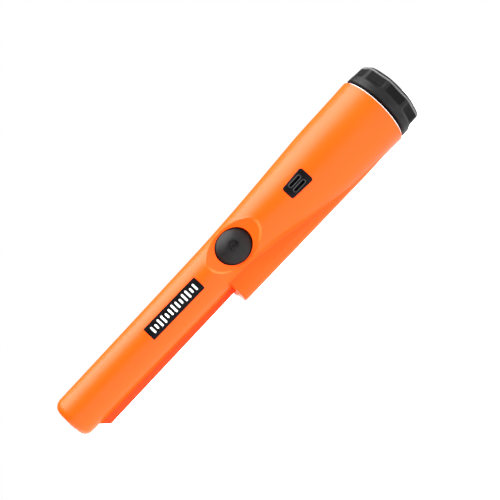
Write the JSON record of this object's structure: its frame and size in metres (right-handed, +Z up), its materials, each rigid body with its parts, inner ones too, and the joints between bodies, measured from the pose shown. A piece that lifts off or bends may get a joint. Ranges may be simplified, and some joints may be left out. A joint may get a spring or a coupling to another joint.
{
  "type": "pinpointer probe",
  "caption": "Hand-held metal-detecting pinpointer with a coil tip, scraping blade, lamp housing, push button, speaker window and screw-on battery cap.",
  "frame": {"origin": "on the surface the probe lies on, under the middle of its length", "axes": "+X along the probe from the coil tip to the battery cap, the button faces -Y, +Z up from the lamp housing's flat underside"},
  "size_m": [0.229, 0.0398, 0.0398],
  "materials": {
    "orange_housing": "satin moulded",
    "black_plastic": "satin moulded",
    "plate_black": "printed film",
    "button_rubber": "moulded rubber",
    "white_seal": "silicone",
    "clear_lens": "clear moulded",
    "circuit_board": "solder mask",
    "chip_black": "moulded epoxy",
    "bright_steel": "plated",
    "copper_wire": "enamelled",
    "ferrite": "sintered",
    "foam": "closed-cell foam",
    "white_nylon": "moulded",
    "wire_red": "insulated",
    "wire_black": "insulated",
    "battery_case": "printed can"
  },
  "bodies": {
    "housing": {"front_shell": "orange_housing", "back_shell": "orange_housing", "speaker_grille": "plate_black", "name_plate": "plate_black", "lamp_lens": "clear_lens", "grille_membrane": "white_seal", "buzzer": "black_plastic", "lamp_diode": "clear_lens", "lamp_lead_plus": "bright_steel", "lamp_lead_minus": "bright_steel", "main_board": "circuit_board", "board_screw_1": "bright_steel", "board_screw_2": "bright_steel", "controller_chip": "chip_black", "amplifier_chip": "chip_black", "voltage_regulator": "chip_black", "crystal_can": "bright_steel", "filter_capacitor": "black_plastic", "tact_switch": "chip_black", "vibration_motor": "bright_steel", "motor_cradle": "black_plastic", "motor_lead_red": "wire_red", "motor_lead_black": "wire_black", "ferrite_core": "ferrite", "coil_bobbin": "white_nylon", "transmit_coil": "copper_wire", "receive_coil": "copper_wire", "tip_pad": "foam", "coil_lead_inner": "copper_wire", "coil_lead_outer": "copper_wire", "contact_block": "black_plastic", "contact_plus": "bright_steel", "contact_minus": "bright_steel", "battery_lead_red": "wire_red", "battery_lead_black": "wire_black"},
    "button": {"power_button": "button_rubber"},
    "plunger": {"switch_plunger": "white_nylon"},
    "motor_rotor": {"motor_shaft": "bright_steel", "motor_weight": "bright_steel"},
    "sealing_ring": {"cap_gasket": "white_seal"},
    "cap": {"battery_cap": "black_plastic", "cap_pad": "foam"},
    "battery": {"battery": "battery_case", "battery_snap_plus": "bright_steel", "battery_snap_minus": "bright_steel"}
  },
  "joints": [
    {"name": "button_press", "type": "slide", "parent": "housing", "child": "button", "axis": [0, 0.9945, -0.1045], "range_m": [0, 0.001], "stiffness_N_per_m": 1500},
    {"name": "plunger_press", "type": "slide", "parent": "housing", "child": "plunger", "axis": [0, 1, 0], "range_m": [0, 0.00025]},
    {"name": "motor_spin", "type": "hinge", "parent": "housing", "child": "motor_rotor", "pos_m": [0.0132, 0, 0.0062], "axis": [1, 0, 0], "continuous": true},
    {"name": "cap_out", "type": "slide", "parent": "housing", "child": "sealing_ring", "axis": [1, 0, 0], "range_m": [0, 0.009]},
    {"name": "cap_turn", "type": "hinge", "parent": "sealing_ring", "child": "cap", "pos_m": [0.102, 0, 0.0199], "axis": [1, 0, 0], "range_deg": [0, 1081]},
    {"name": "battery_out", "type": "slide", "parent": "housing", "child": "battery", "axis": [1, 0, 0], "range_m": [0, 0.00755]}
  ],
  "couplings": [
    {"joint": "plunger_press", "follows": "button_press", "ratio": 0.25},
    {"joint": "cap_turn", "follows": "cap_out", "rad_per_m": 2094.4},
    {"joint": "battery_out", "follows": "cap_out", "ratio": 0.83333}
  ]
}
